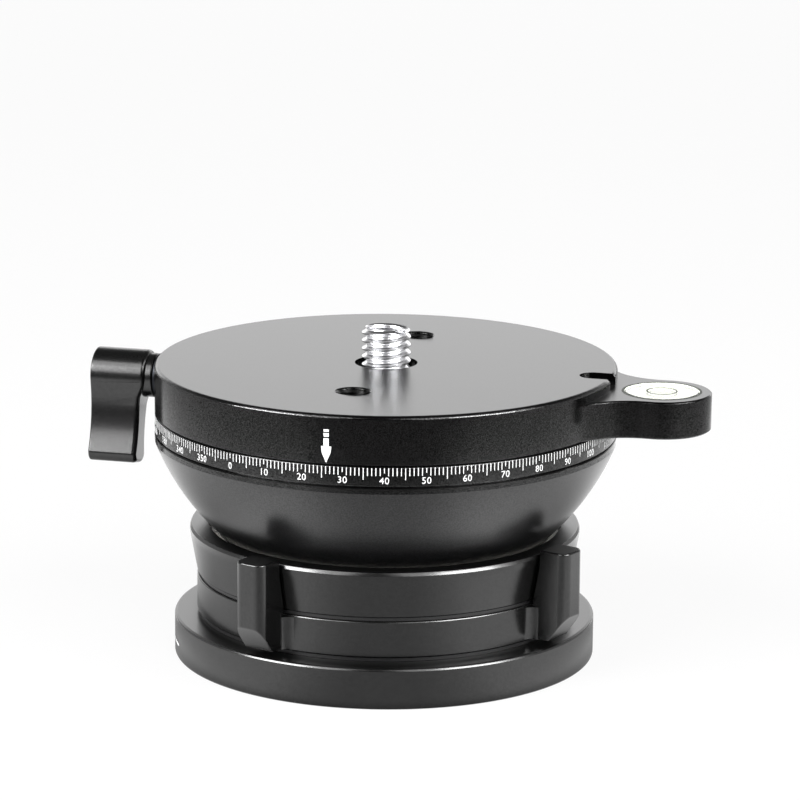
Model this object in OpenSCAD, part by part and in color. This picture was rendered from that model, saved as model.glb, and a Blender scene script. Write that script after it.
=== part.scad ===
// Leveling base: a half ball clamped in a seat collar, with a panning platform on top.
// Millimetres. The origin is the centre of the base underside, with +Z up.
// The pointer is on -Y, the spirit level on +X and the pan lock knob on -X.

/* [Base] */
// Diameter of the base plate
base_d = 82.4; // [80:0.2:92]
// Thickness of the base plate
base_t = 8; // [7:0.5:12]
// Chamfer on the edges of the base plate and the platform
edge_chamfer = 0.5; // [0.2:0.1:1]
// Diameter of the screw that the base takes, 3/8 inch
tripod_screw_d = 9.525; // [6.35:0.005:9.525]
// Diameter of the steel bush round that screw
bush_d = 15; // [13.5:0.5:18]
// Width of the flange on top of the bush
bush_flange = 2; // [1:0.25:3]
// Thickness of that flange
bush_flange_t = 1.2; // [0.8:0.1:1.3]
// Number of screws and pillars that hold the collar on the base
pillar_count = 4; // [3:1:6]
// Diameter of a pillar
pillar_d = 5.6; // [5:0.2:6]
// Diameter of the screw in each pillar
pillar_screw_d = 3; // [2:0.5:3]

/* [Lock ring] */
// Outer diameter of the lock ring
ring_d = 73.6; // [71:0.2:76]
// Height of the lock ring
ring_h = 7.1; // [6.6:0.1:9]
// Radial wall of the lock ring, from its thread to its outside
ring_wall = 5.8; // [4:0.2:6.4]
// Thickness of the slip rings below and above the lock ring
slip_t = 0.7; // [0.5:0.1:1.2]
// Number of finger tabs
tab_count = 4; // [2:1:6]
// Direction of the first tab, from +X
tab_angle = -111.4; // [-180:0.1:180]
// Radial length of a tab outside the collar
tab_reach = 5.9; // [4:0.1:9]
// Width of a tab
tab_w = 6.4; // [5.2:0.1:9]
// Radius of the two upright edges of a tab's outer face
tab_corner = 1.9; // [0.6:0.1:2.4]
// Radius of the blend between a tab and the ring
tab_blend = 2.2; // [1:0.1:3]
// Height of the tabs above the collar
tab_rise = 1; // [0:0.1:2]
// Height of the slanted underside of a tab
tab_slant = 5.1; // [2:0.1:6]
// Radial width of that slant
tab_slant_w = 3.7; // [2:0.1:5]

/* [Seat collar] */
// Height of the collar
collar_h = 9.2; // [8.6:0.1:11]
// Radius of the collar's mouth
mouth_r = 34.2; // [33.6:0.1:35.4]
// Width of the collar's top, from the mouth to the outside
collar_wall = 4; // [3:0.1:5]
// How far the collar tapers in towards its foot
collar_taper = 1.4; // [0.4:0.1:2]
// Height of the upright band on top of the collar
band_h = 2.2; // [1:0.1:3]
// Height of the liner that the ball slides on
liner_h = 3.6; // [2.4:0.1:4]
// Radius of the circle where the ball rests on the liner
seat_r = 30.3; // [29.8:0.1:30.8]
// Width of the liner outside that circle
liner_w = 3.6; // [3:0.1:3.8]

/* [Half ball] */
// Radius of the ball
ball_r = 48.4; // [47:0.1:52]
// Wall of the ball
ball_wall = 7.4; // [6.4:0.1:8]
// Largest tilt each way
tilt_max = 10; // [5:1:11]
// Height of the foot of the ball's rim above the collar
rim_rise = 17; // [16.9:0.1:20]
// Height of that rim, which is flush with the dial
rim_h = 1.1; // [0.8:0.1:3]
// Radial wall of the rim, outside the thread of the scale base
rim_wall = 6.5; // [5.5:0.1:7.5]

/* [Clamp] */
// Diameter of the draw bolt
draw_bolt_d = 8; // [6:0.5:9]
// Diameter of the clamp plate's hub
clamp_hub_d = 17; // [15.5:0.5:19]
// Thickness of the clamp plate's web
web_t = 2.6; // [2:0.1:2.8]
// Thickness of the pressure cap at its edge
cap_edge = 2; // [1.2:0.1:3.5]
// Across flats of the nut on the draw bolt
nut_af = 13; // [12:0.5:15]

/* [Scale base] */
// Height of the dial
dial_h = 4.1; // [3.6:0.1:6]
// Height of the seam under the dial
seam_h = 0.46; // [0.3:0.02:0.8]
// Depth of that seam
seam_depth = 0.6; // [0.3:0.1:1]
// Thickness of the scale base's web
deck_t = 4.1; // [3.6:0.1:5]

/* [Platform] */
// Diameter of the platform and of the dial
platform_d = 90; // [88:0.5:92]
// Thickness of the platform
platform_t = 9.5; // [9.2:0.1:12]
// Gap between the dial and the platform
pan_gap = 0.1; // [0.05:0.05:0.4]
// Spacing of the two 1/4 inch holes
hole_spacing = 50.8; // [50:0.1:60]
// Diameter of those holes
hole_d = 6.4; // [5:0.1:6.6]
// Depth of those holes
hole_depth = 6; // [5:0.1:6.2]
// Countersink on those holes
hole_chamfer = 0.3; // [0.1:0.1:0.6]
// Diameter of the relief round the camera screw
relief_d = 12.2; // [10.6:0.1:14]
// Depth of that relief
relief_depth = 2; // [1:0.1:3]
// Width of the radial slot beside the spirit level
slot_w = 5.2; // [4:0.1:7]
// Length of that slot, in from the rim
slot_len = 6.6; // [4:0.1:12]
// Diameter of the camera screw's fixed end, in the platform
camera_stud_d = 8; // [6:0.5:8.5]
// Diameter of the camera screw, 3/8 inch
camera_screw_d = 9.525; // [6.35:0.005:9.525]
// Height of the camera screw above the platform
camera_screw_h = 7.1; // [4:0.1:9]
// Across flats of the socket in the camera screw
socket_af = 4.8; // [2.5:0.1:5]

/* [Pan bearing] */
// Diameter of the hub's flange that the platform turns on
hub_d = 39; // [37:0.5:39.5]
// Thickness of that flange
hub_flange_t = 3; // [2.6:0.1:3.2]
// Diameter of the hub's neck
hub_neck_d = 30; // [28:0.5:32]
// Bore of the hub
hub_bore_d = 21; // [20:0.5:22]
// Thickness of the pan washers
pan_washer_t = 0.5; // [0.3:0.1:0.6]
// Thickness of the ring that keeps the hub in the platform
retainer_t = 2; // [1.8:0.1:2.4]

/* [Spirit level] */
// Distance of the spirit level from the axis
vial_x = 54.5; // [53:0.1:60]
// Diameter of the spirit level
vial_d = 15.3; // [12:0.1:15.6]
// Height of the spirit level
vial_h = 4.8; // [4:0.1:5.4]
// Diameter of the bubble
bubble_d = 4.6; // [3:0.1:6]
// Radius of the lug round it
lug_r = 9.6; // [9.2:0.1:12]
// Radius of the fillets between the lug and the platform
lug_fillet = 12; // [6:0.5:16]
// Drop of the lug below the platform's top
lug_drop = 2.2; // [1:0.1:3]

/* [Pan lock] */
// Diameter of the lock stud
lock_stud_d = 6; // [5:0.5:6.5]
// Diameter of the brake shoe
brake_d = 2.6; // [2.2:0.1:3]
// Depth of the lock stud in the platform
stud_depth = 14.5; // [13:0.1:15]
// Gap between the platform and the knob's paddle
knob_gap = 4.4; // [3.6:0.1:7]
// Width of the paddle along the stud
knob_w = 9.5; // [8:0.1:13]
// Diameter of the boss round the stud
knob_boss_d = 10; // [8.4:0.1:11]
// Length of the paddle from the stud's axis
knob_len = 17.5; // [15:0.1:24]
// Thickness of the paddle at its waist
knob_waist = 4; // [3:0.1:4.6]
// Thickness of the paddle at its tip
knob_tip = 5; // [4.7:0.1:6]
// Turn of the paddle from hanging straight down, towards the pointer side
knob_turn = 12.5; // [-60:0.5:60]
// Diameter of the knob's neck and of the washer on it
knob_neck_d = 9.9; // [8:0.1:10.6]
// Radius of the corners at the paddle's tip
knob_corner = 1.9; // [0.6:0.1:2.2]

/* [Clearances] */
// Gap between the ball and the liner, and between the ball and the pressure cap
seat_clear = 0.25; // [0.15:0.05:0.3]
// Gap between the ball and the collar
collar_clear = 0.6; // [0.4:0.05:0.8]
// Gap on each face of a slip ring
slip_clear = 0.05; // [0.02:0.01:0.1]
// Radial gap of a running or sliding fit
run_clear = 0.06; // [0.03:0.01:0.1]
// Radial gap of a thread or a push fit that stays put
thread_clear = 0.05; // [0.02:0.01:0.1]
// Gap between a tab and the collar
tab_clear = 0.4; // [0.3:0.05:1]
// Gap between pieces that pass each other
pass_clear = 0.3; // [0.2:0.05:0.5]

/* [Hidden] */
$fn = 96;

// How far a cut runs past the face that it opens, and the overlap where two solids join into one
over = 1;
lap = 0.01;
// Direction of the first screw or pillar of a pattern
pattern_angle = 45;

// Heights of the lower stack
ring_z = base_t + slip_t + 2 * slip_clear;
ring_top = ring_z + ring_h;
collar_z = ring_top + slip_t + 2 * slip_clear;
collar_top = collar_z + collar_h;

// The ball: its centre is above the circle where it rests on the liner
mouth_chamfer = 0.4;
liner_drop = 0.9;
liner_z = collar_top - mouth_chamfer - liner_drop - liner_h;
liner_top = liner_z + liner_h;
liner_in_r = ball_r + seat_clear;
liner_out_r = seat_r + liner_w;
ball_z = liner_z + liner_h / 2 + sqrt(ball_r * ball_r - seat_r * seat_r);
ball_in_r = ball_r - ball_wall;
rim_base_z = collar_top + rim_rise;
rim_z = rim_base_z + rim_h;
rim_drop = ball_z - rim_base_z;
rim_bevel = 0.4;
rim_thread_r = sqrt(ball_r * ball_r - rim_drop * rim_drop) - rim_wall;
rim_thread_h = 3.4;
rim_thread_gap = 0.2;
dial_r = platform_d / 2;

// The collar, with a pocket for the liner and a well that clears the ball
liner_pocket_r = liner_out_r + run_clear;
collar_r = mouth_r + collar_wall;
collar_foot_r = collar_r - collar_taper;
foot_h = 1;
band_edge = 0.7;
band_step = 0.25;
well_r = ball_r + collar_clear;
well_up = ball_z - collar_z;
well_step = 1.1;
collar_hole_r = sqrt(well_r * well_r - well_up * well_up) + well_step;

// The lock ring and the thread of the clamp plate in it
ring_r = ring_d / 2;
ring_edge = 0.4;
thread_r = ring_r - ring_wall;
plate_r = thread_r - run_clear;
slip_margin = 0.5;
slip_in_r = thread_r + slip_margin;
slip_out_r = ring_r - slip_margin;
tab_in_r = collar_r + tab_clear;
tab_out_r = tab_in_r + tab_reach;
tab_top = collar_top + tab_rise;
tab_edge = 0.4;
tab_root = 1;
tab_foot = 0.5;
tab_sole = 0.3;

// The clamp plate, drawn down by its thread: a dish below the ball and a hub round the draw bolt
plate_gap = 1.1;
plate_drop = 1.1;
plate_z = base_t + plate_gap;
plate_top = ring_top - plate_drop;
dish_z = plate_z + web_t;
dish_flat = 3.5;
dish_rise = 8;
clamp_hub_r = clamp_hub_d / 2;
clamp_hub_h = 2.8;
clamp_hub_fillet = 2;
clamp_hub_top = dish_z + clamp_hub_h;
bush_r = bush_d / 2;
bush_flange_r = bush_r + bush_flange;
bush_top = base_t + bush_flange_t;
bush_room = 1;
bush_room_r = bush_flange_r + bush_room;
bolt_r = draw_bolt_d / 2;
bolt_head_over = 2.5;
bolt_head_r = bolt_r + bolt_head_over;
bolt_head_t = 2.2;
bolt_head_gap = 0.6;
bolt_head_z = bush_top + bolt_head_gap;
bolt_head_sink = 0.1;

// Half angles, seen from the ball's centre. At full tilt the hole in the ball clears the hub and
// its edge clears the dish, and the pressure cap still covers the hole
hub_pass = 3.2;
dish_pass = 1.9;
hub_margin = asin((clamp_hub_r + hub_pass) / ball_r);
dish_margin = acos(min(1, (ball_z - dish_z - dish_pass) / ball_r));
hole_angle = tilt_max + max(hub_margin, dish_margin);
cap_margin = 4;
cap_angle = hole_angle + tilt_max + cap_margin;

// Pillars and the screws that come up from below the base
pillar_r = pillar_d / 2;
pillar_wall = 1.2;
pillar_circle = plate_r - pillar_r - run_clear - pillar_wall;
pillar_screw_r = pillar_screw_d / 2;
pillar_bore_h = 6;
spigot_in = pillar_circle - pillar_screw_r;
spigot_top = ball_z - sqrt(well_r * well_r - spigot_in * spigot_in);
screw_head_r = 2.8;
screw_head_t = 2;
screw_recess = 0.4;
screw_end_gap = 1;
screw_socket_r = 1.2;
screw_socket_depth = 1.2;

// The pressure cap and what holds it on the draw bolt
cap_r = ball_in_r - seat_clear;
cap_edge_r = cap_r * sin(cap_angle);
cap_top = ball_z - cap_r * cos(cap_angle) + cap_edge;
cap_well_gap = 4.5;
cap_well_r = nut_af / 2 + cap_well_gap;
cap_floor_t = 6;
cap_floor = ball_z - cap_r + cap_floor_t;
washer_t = 1.2;
washer_over = 2;
washer_r = nut_af / 2 + washer_over;
spring_t = 1;
spring_cone = 0.6;
spring_over = 1.4;
spring_r = nut_af / 2 + spring_over;
spring_z = cap_floor + washer_t;
nut_z = spring_z + spring_t + spring_cone;
nut_h = 6.5;
bolt_over = 1.8;
bolt_top = nut_z + nut_h + bolt_over;

// The scale base and the hub that is bolted to it
dial_top = rim_z + dial_h;
hub_recess = 2;
hub_seat = dial_top - hub_recess;
deck_z = hub_seat - deck_t;
deck_skirt_w = 5;
hub_r = hub_d / 2;
neck_r = hub_neck_d / 2;
hub_bore_r = hub_bore_d / 2;
hub_screw_count = 4;
hub_screw_r = 1.5;
hub_screw_circle = (neck_r + hub_bore_r) / 2;
hub_screw_head_r = 2.1;
hub_screw_head_t = 2;
hub_screw_end_gap = 0.5;

// The platform, from its underside up
platform_z = dial_top + pan_gap;
platform_top = platform_z + platform_t;
retainer_z = platform_z + pass_clear;
retainer_top = retainer_z + retainer_t;
flange_z = retainer_top + pan_washer_t;
flange_top = flange_z + hub_flange_t;
pocket_top = flange_top + pan_washer_t;
pocket_r = hub_r + run_clear;
retainer_lap = 4.4;
retainer_r = hub_r + retainer_lap;
retainer_bore_r = neck_r + pass_clear;
retainer_screw_count = 4;
retainer_screw_r = 1.25;
retainer_screw_head_r = 1.9;
retainer_screw_head_t = 1.2;
retainer_screw_h = 3.4;
retainer_screw_end_gap = 0.4;
retainer_screw_circle = retainer_r - retainer_screw_head_r - pass_clear;
boss_gap = 0.7;
boss_r = hub_bore_r - boss_gap;
boss_lift = 0.4;
boss_step = 1;
lug_top = platform_top - lug_drop;
lug_inset = 4;
lug_chamfer = edge_chamfer * 0.6;
relief_z = platform_top - relief_depth;
camera_r = camera_screw_d / 2;
camera_stud_r = camera_stud_d / 2;
camera_chamfer = 0.75;
socket_depth = 4;

// The spirit level
vial_r = vial_d / 2;
vial_wall = 0.8;
vial_rim = 0.4;
vial_floor = 0.7;
lens_t = 1.2;
lens_edge = 0.3;
lens_r = vial_r - vial_rim - thread_clear;
vial_z = lug_top - vial_h;
lens_z = lug_top - lens_t;
bubble_r = bubble_d / 2;
bubble_h = 0.9;

// The pan lock, on the level of the hub's flange, with its bore just above the retaining ring
lock_r = lock_stud_d / 2;
brake_r = brake_d / 2;
lock_z = retainer_top + brake_r + pass_clear;
brake_tip = hub_r + seat_clear;
brake_end = dial_r - stud_depth;
brake_room = 0.6;
paddle_in = dial_r + knob_gap;
paddle_out = paddle_in + knob_w;
knob_boss_r = knob_boss_d / 2;
knob_neck_r = knob_neck_d / 2;
spot_margin = 0.4;
spot_r = lock_r + spot_margin;
spot_depth = 0.4;
knob_washer_gap = 0.5;
knob_washer_t = 0.9;
washer_in = dial_r + knob_washer_gap;
neck_in = washer_in + knob_washer_t;
stud_grip = 5.7;
waist_share = 0.45;
stud_seat = paddle_in + stud_grip;

// A ring between two heights
module tube(r_out, r_in, z0, z1) {
  difference() {
    translate([0, 0, z0]) cylinder(r = r_out, h = z1 - z0);
    translate([0, 0, z0 - over]) cylinder(r = r_in, h = z1 - z0 + 2 * over);
  }
}

// A round bar between two heights
module bar(r, z0, z1) {
  translate([0, 0, z0]) cylinder(r = r, h = z1 - z0);
}

// A round bar along -X at the height of the pan lock
module lock_bar(r, x0, x1) {
  translate([-x0, 0, lock_z]) rotate([0, -90, 0]) cylinder(r = r, h = x1 - x0);
}

// Copies round the axis
module around(count, first = 0) {
  for (i = [0 : count - 1])
    rotate(first + i * 360 / count) children();
}

// A cap screw standing on its head at the origin
module cap_screw(head_r, head_t, shank_r, shank_h) {
  bar(head_r, 0, head_t);
  bar(shank_r, head_t - lap, head_t + shank_h);
}

// Base

module base_plate() {
  r = base_d / 2;
  c = edge_chamfer;
  color("#26272a") difference() {
    rotate_extrude()
      polygon([[0, 0], [r - c, 0], [r, c], [r, base_t - c], [r - c, base_t], [0, base_t]]);
    bar(bush_r + thread_clear, -over, base_t + over);
    around(pillar_count, pattern_angle) translate([pillar_circle, 0, 0]) {
      bar(pillar_screw_r + pass_clear, -over, base_t + over);
      bar(screw_head_r + pass_clear, -over, screw_recess + screw_head_t);
    }
  }
}

module tripod_bush() {
  color("#b4b6b8") difference() {
    union() {
      bar(bush_r, 0, base_t);
      bar(bush_flange_r, base_t, bush_top);
    }
    bar(tripod_screw_d / 2 + thread_clear, -over, bush_top + over);
  }
}

module base_screws() {
  shank = base_t + pillar_bore_h - screw_end_gap - screw_recess - screw_head_t;
  color("#3a3b3d") around(pillar_count, pattern_angle)
    translate([pillar_circle, 0, screw_recess]) difference() {
      cap_screw(screw_head_r, screw_head_t, pillar_screw_r, shank);
      translate([0, 0, -over]) cylinder(r = screw_socket_r, h = screw_socket_depth + over, $fn = 6);
    }
}

module guide_pillars() {
  color("#a9abad") around(pillar_count, pattern_angle) translate([pillar_circle, 0, 0]) difference() {
    union() {
      bar(pillar_r, base_t, collar_z);
      bar(pillar_screw_r, collar_z - lap, spigot_top);
    }
    bar(pillar_screw_r + thread_clear, base_t - over, base_t + pillar_bore_h);
  }
}

module lower_slip_ring() {
  color("#101012") tube(slip_out_r, slip_in_r, base_t + slip_clear, base_t + slip_clear + slip_t);
}

module upper_slip_ring() {
  color("#101012") tube(slip_out_r, slip_in_r, ring_top + slip_clear, ring_top + slip_clear + slip_t);
}

// Collar: a taper below an upright band, with a spherical well and a step for the liner
module seat_collar() {
  band_z = collar_top - band_h;
  color("#2c2d30") difference() {
    rotate_extrude() polygon([
      [0, collar_z], [collar_foot_r, collar_z], [collar_foot_r, collar_z + foot_h],
      [collar_r - band_step, band_z], [collar_r, band_z + band_step],
      [collar_r, collar_top - band_edge], [collar_r - band_edge / 3, collar_top - band_edge / 3],
      [collar_r - band_edge, collar_top], [0, collar_top]
    ]);
    translate([0, 0, ball_z]) sphere(r = well_r);
    bar(collar_hole_r, collar_z - over, collar_top);
    bar(liner_pocket_r, liner_z, liner_top);
    bar(mouth_r, liner_top, collar_top + over);
    translate([0, 0, collar_top - mouth_chamfer])
      cylinder(r1 = mouth_r, r2 = mouth_r + 2 * mouth_chamfer, h = 2 * mouth_chamfer);
    around(pillar_count, pattern_angle) translate([pillar_circle, 0, 0])
      bar(pillar_screw_r + thread_clear, collar_z - over, collar_top);
  }
}

module seat_liner() {
  color("#d8d6cc") difference() {
    bar(liner_out_r, liner_z, liner_top);
    translate([0, 0, ball_z]) sphere(r = liner_in_r);
  }
}

// Lock ring

// Plan of one finger tab along +X, rounded at its tip
module tab_plan() {
  half = tab_w / 2;
  root_x = ring_r - tab_root;
  corner_x = tab_out_r - tab_corner;
  corner_y = half - tab_corner;
  translate([root_x, -half]) square([corner_x - root_x, tab_w]);
  translate([root_x, -corner_y]) square([tab_out_r - root_x, 2 * corner_y]);
  for (s = [-1, 1]) translate([corner_x, s * corner_y]) circle(r = tab_corner);
}

// Plan of the blend between a tab and the ring
module blend_plan() {
  root_x = ring_r - tab_root;
  blend_x = ring_r + tab_blend;
  blend_y = tab_w / 2 + tab_blend;
  difference() {
    translate([root_x, -blend_y]) square([blend_x - root_x, 2 * blend_y]);
    for (s = [-1, 1]) translate([blend_x, s * blend_y]) circle(r = tab_blend);
  }
}

module lock_ring() {
  slant_z = ring_z + tab_slant;
  blend_h = ring_h - 2 * ring_edge + over;
  color("#232427") union() {
    rotate_extrude() polygon([
      [thread_r, ring_z], [ring_r - ring_edge, ring_z], [ring_r, ring_z + ring_edge],
      [ring_r, ring_top - ring_edge], [ring_r - ring_edge, ring_top], [thread_r, ring_top]
    ]);
    intersection() {
      around(tab_count, tab_angle) translate([0, 0, ring_z - over]) {
        linear_extrude(tab_top) tab_plan();
        linear_extrude(blend_h) blend_plan();
      }
      rotate_extrude() polygon([
        [ring_r - tab_root, ring_z + tab_foot], [tab_out_r - tab_slant_w, ring_z + tab_foot],
        [tab_out_r - tab_sole, slant_z], [tab_out_r + over, slant_z], [tab_out_r + over, tab_top - tab_edge],
        [tab_out_r - tab_edge, tab_top], [tab_in_r + tab_edge, tab_top],
        [tab_in_r, tab_top - tab_edge], [tab_in_r, collar_top - band_h],
        [collar_foot_r + tab_clear, collar_z], [collar_foot_r + tab_clear, ring_top],
        [ring_r - tab_root, ring_top]
      ]);
    }
  }
}

// Clamp

module clamp_plate() {
  flat_r = bush_room_r + dish_flat;
  low = bolt_head_z - bolt_head_sink;
  color("#8f9194") difference() {
    rotate_extrude() polygon([
      [0, low], [bush_room_r - bush_room, low], [bush_room_r, plate_z],
      [plate_r, plate_z], [plate_r, plate_top], [flat_r + dish_rise, plate_top],
      [flat_r, dish_z], [clamp_hub_r + clamp_hub_fillet, dish_z], [clamp_hub_r, dish_z + clamp_hub_fillet],
      [clamp_hub_r, clamp_hub_top], [0, clamp_hub_top]
    ]);
    bar(bolt_r + thread_clear, 0, clamp_hub_top + over);
    bar(bolt_head_r + thread_clear, 0, bolt_head_z + bolt_head_t);
    around(pillar_count, pattern_angle) translate([pillar_circle, 0, 0])
      bar(pillar_r + run_clear, plate_z - over, plate_top + over);
  }
}

module draw_bolt() {
  color("#b9bbbd") {
    bar(bolt_head_r, bolt_head_z, bolt_head_z + bolt_head_t);
    bar(bolt_r, bolt_head_z + bolt_head_t - lap, bolt_top);
  }
}

module pressure_cap() {
  color("#85878a") difference() {
    intersection() {
      translate([0, 0, ball_z]) sphere(r = cap_r);
      bar(cap_edge_r, ball_z - ball_r, cap_top);
    }
    bar(bolt_r + thread_clear, ball_z - ball_r, cap_top + over);
    bar(cap_well_r, cap_floor, cap_top + over);
  }
}

module cap_washer() {
  color("#c2c3c5") tube(washer_r, bolt_r + pass_clear, cap_floor, cap_floor + washer_t);
}

module disc_spring() {
  inner = bolt_r + pass_clear;
  color("#5f6164") rotate_extrude() polygon([
    [spring_r, spring_z], [spring_r, spring_z + spring_t],
    [inner, spring_z + spring_t + spring_cone], [inner, spring_z + spring_cone]
  ]);
}

module clamp_nut() {
  color("#b9bbbd") difference() {
    translate([0, 0, nut_z]) cylinder(r = nut_af / 2 / cos(30), h = nut_h, $fn = 6);
    bar(bolt_r + thread_clear, nut_z - over, nut_z + nut_h + over);
  }
}

// Half ball and scale base

module half_ball() {
  depth = ball_r + over;
  low = ball_z - depth;
  color("#4a4b4d") difference() {
    intersection() {
      union() {
        translate([0, 0, ball_z]) sphere(r = ball_r);
        bar(dial_r + over, rim_base_z, rim_z);
      }
      rotate_extrude() polygon([
        [0, low], [dial_r, low], [dial_r, rim_z - 2 * rim_bevel], [dial_r - rim_bevel, rim_z], [0, rim_z]
      ]);
    }
    translate([0, 0, ball_z]) sphere(r = ball_in_r);
    translate([0, 0, low]) cylinder(r1 = depth * tan(hole_angle), r2 = 0, h = depth);
    bar(rim_thread_r, rim_z - rim_thread_h, rim_z + over);
  }
}

// Turned disc: a threaded skirt below, the dial round its rim and a seat for the hub
module scale_base() {
  skirt_r = rim_thread_r - thread_clear;
  skirt_z = rim_z - rim_thread_h + rim_thread_gap;
  c = edge_chamfer / 2;
  color("#1d1e20") difference() {
    rotate_extrude() polygon([
      [0, deck_z], [skirt_r - deck_skirt_w, deck_z], [skirt_r - deck_skirt_w, skirt_z],
      [skirt_r, skirt_z], [skirt_r, rim_z], [dial_r - seam_depth, rim_z],
      [dial_r - seam_depth, rim_z + seam_h], [dial_r, rim_z + seam_h], [dial_r, dial_top - c],
      [dial_r - c, dial_top], [neck_r + thread_clear, dial_top], [neck_r + thread_clear, hub_seat],
      [0, hub_seat]
    ]);
    around(hub_screw_count, pattern_angle) translate([hub_screw_circle, 0, deck_z]) {
      bar(hub_screw_r + pass_clear, -over, deck_t + over);
      bar(hub_screw_head_r + pass_clear, -over, hub_screw_head_t);
    }
  }
}

module pan_hub() {
  color("#9b9da0") difference() {
    union() {
      bar(neck_r, hub_seat, flange_z);
      bar(hub_r, flange_z, flange_top);
    }
    bar(hub_bore_r, hub_seat - over, flange_top + over);
    around(hub_screw_count, pattern_angle) translate([hub_screw_circle, 0, 0])
      bar(hub_screw_r + thread_clear, hub_seat - over, flange_z);
  }
}

module hub_screws() {
  shank = flange_z - deck_z - hub_screw_head_t - hub_screw_end_gap;
  color("#3a3b3d") around(hub_screw_count, pattern_angle) translate([hub_screw_circle, 0, deck_z])
    cap_screw(hub_screw_head_r, hub_screw_head_t, hub_screw_r, shank);
}

// Platform

// Lug for the spirit level: a round end and a neck with a concave fillet on each side
module lug() {
  c = lug_chamfer;
  lug_h = lug_top - platform_z;
  disc_d = dial_r + lug_fillet;
  end_d = lug_r + lug_fillet;
  fx = (disc_d * disc_d - end_d * end_d + vial_x * vial_x) / (2 * vial_x);
  fy = sqrt(disc_d * disc_d - fx * fx);
  on_disc = [fx, fy] * dial_r / disc_d;
  on_end = [vial_x, 0] + ([fx, fy] - [vial_x, 0]) * lug_r / end_d;
  inner_x = on_disc[0] - lug_inset;
  translate([0, 0, platform_z]) {
    translate([vial_x, 0, 0]) rotate_extrude() polygon([
      [0, 0], [lug_r - c, 0], [lug_r, c], [lug_r, lug_h - c], [lug_r - c, lug_h], [0, lug_h]
    ]);
    difference() {
      linear_extrude(lug_h) for (side = [0, 1]) mirror([0, side])
        polygon([[inner_x, 0], [inner_x, on_disc[1]], on_disc, [fx, fy], on_end, [vial_x, 0]]);
      for (side = [-1, 1]) translate([fx, side * fy, 0]) {
        cylinder(r = lug_fillet, h = lug_h);
        translate([0, 0, -c]) cylinder(r1 = lug_fillet + 2 * c, r2 = lug_fillet, h = 2 * c);
        translate([0, 0, lug_h - c]) cylinder(r1 = lug_fillet, r2 = lug_fillet + 2 * c, h = 2 * c);
      }
    }
  }
}

module platform() {
  c = edge_chamfer;
  low = edge_chamfer / 2;
  slot_end = dial_r - slot_len + slot_w / 2;
  color("#2a2b2d") difference() {
    union() {
      rotate_extrude() polygon([
        [0, platform_z], [dial_r - low, platform_z], [dial_r, platform_z + low],
        [dial_r, platform_top - c], [dial_r - c, platform_top], [0, platform_top]
      ]);
      lug();
    }
    // Radial slot beside the spirit level
    translate([slot_end, 0, lug_top]) {
      cylinder(r = slot_w / 2, h = lug_drop + over);
      translate([0, -slot_w / 2, 0]) cube([slot_len + lug_r, slot_w, lug_drop + over]);
    }
    // Seat of the spirit level
    translate([vial_x, 0, 0]) bar(vial_r + thread_clear, vial_z, platform_top + over);
    // Holes for the camera screw and the two 1/4 inch screws
    bar(camera_stud_r + thread_clear, platform_z - over, platform_top + over);
    bar(relief_d / 2, relief_z, platform_top + over);
    for (s = [-1, 1]) translate([0, s * hole_spacing / 2, 0]) {
      bar(hole_d / 2, platform_top - hole_depth, platform_top + over);
      translate([0, 0, platform_top - hole_chamfer])
        cylinder(r1 = hole_d / 2, r2 = hole_d / 2 + 2 * hole_chamfer, h = 2 * hole_chamfer);
    }
    // Pocket for the hub and its retaining ring
    tube(pocket_r, boss_r, platform_z - over, pocket_top);
    tube(retainer_r + thread_clear, boss_r, platform_z - over, retainer_top);
    bar(boss_r + boss_step, platform_z - over, platform_z + boss_lift);
    around(retainer_screw_count, pattern_angle) translate([retainer_screw_circle, 0, 0])
      bar(retainer_screw_r + thread_clear, retainer_top - over, retainer_top + retainer_screw_h);
    // Thread of the lock stud, bore of the brake shoe and the flat that the washer faces
    lock_bar(brake_r + run_clear, hub_r, brake_end + over);
    lock_bar(lock_r + run_clear, brake_end - brake_room, dial_r + over);
    lock_bar(spot_r, dial_r - spot_depth, dial_r + over);
  }
}

module hub_retainer() {
  color("#8b8d90") difference() {
    tube(retainer_r, retainer_bore_r, retainer_z, retainer_top);
    around(retainer_screw_count, pattern_angle) translate([retainer_screw_circle, 0, retainer_z]) {
      bar(retainer_screw_r + thread_clear, -over, retainer_t + over);
      bar(retainer_screw_head_r + thread_clear, -over, retainer_screw_head_t);
    }
  }
}

module retainer_screws() {
  shank = retainer_t + retainer_screw_h - retainer_screw_head_t - retainer_screw_end_gap;
  color("#3a3b3d") around(retainer_screw_count, pattern_angle)
    translate([retainer_screw_circle, 0, retainer_z])
      cap_screw(retainer_screw_head_r, retainer_screw_head_t, retainer_screw_r, shank);
}

module lower_pan_washer() {
  color("#e4e2d8") tube(hub_r - pass_clear, retainer_bore_r, retainer_top, flange_z);
}

module upper_pan_washer() {
  color("#e4e2d8") tube(hub_r - pass_clear, hub_bore_r + pass_clear, flange_top, pocket_top);
}

module camera_screw() {
  low = platform_z + boss_lift;
  top = platform_top + camera_screw_h;
  color("#cfd0d1") difference() {
    rotate_extrude() polygon([
      [0, low], [camera_stud_r, low], [camera_stud_r, relief_z], [camera_r, relief_z],
      [camera_r, top - camera_chamfer], [camera_r - camera_chamfer, top], [0, top]
    ]);
    translate([0, 0, top - socket_depth])
      cylinder(r = socket_af / 2 / cos(30), h = socket_depth + over, $fn = 6);
  }
}

// Spirit level

module vial_cup() {
  color("#eef0e6") translate([vial_x, 0, 0]) difference() {
    bar(vial_r, vial_z, lug_top);
    bar(vial_r - vial_wall, vial_z + vial_floor, lens_z + over);
    bar(vial_r - vial_rim, lens_z, lug_top + over);
  }
}

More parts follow.
